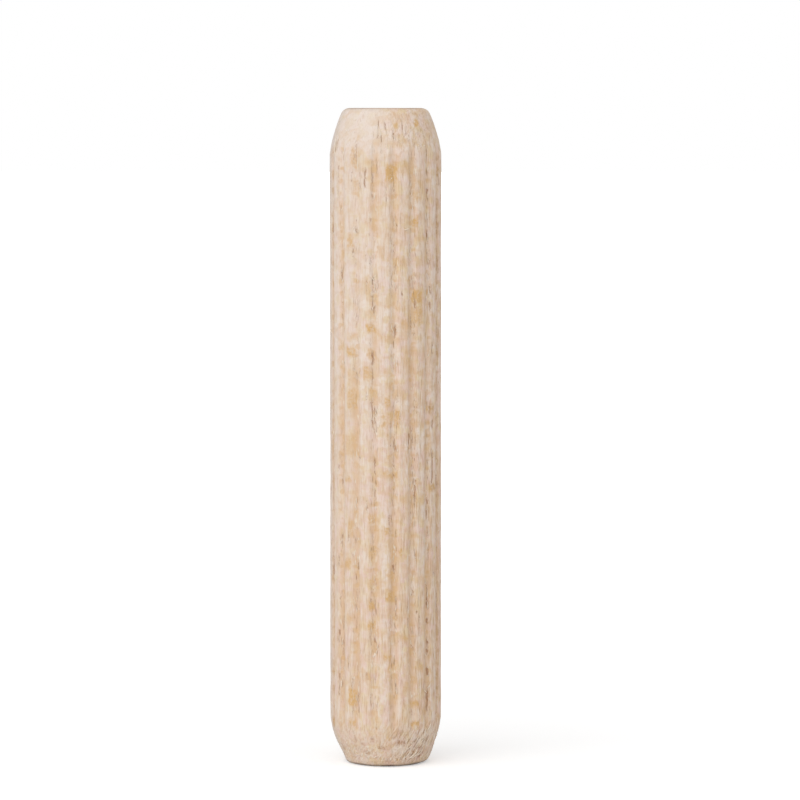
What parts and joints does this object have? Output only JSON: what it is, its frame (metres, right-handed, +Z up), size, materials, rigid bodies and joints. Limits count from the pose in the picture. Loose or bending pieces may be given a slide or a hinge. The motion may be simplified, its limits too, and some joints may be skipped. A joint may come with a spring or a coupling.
{
  "type": "dowel pin",
  "caption": "Fluted wooden dowel pin with tapered ends, for glued furniture joints.",
  "frame": {"origin": "centre of the lower end face, on the surface that the pin stands on", "axes": "+Z up along the pin's axis towards the upper end face, -Y towards the viewer through the middle of one land, +X to the viewer's right"},
  "size_m": [0.006, 0.006, 0.035],
  "materials": {
    "beech": "raw unfinished beech, dry and matt, with fine pores, flecks and torn fibres at the ends"
  },
  "bodies": {
    "root": {"dowel_pin": "beech"}
  },
  "joints": []
}
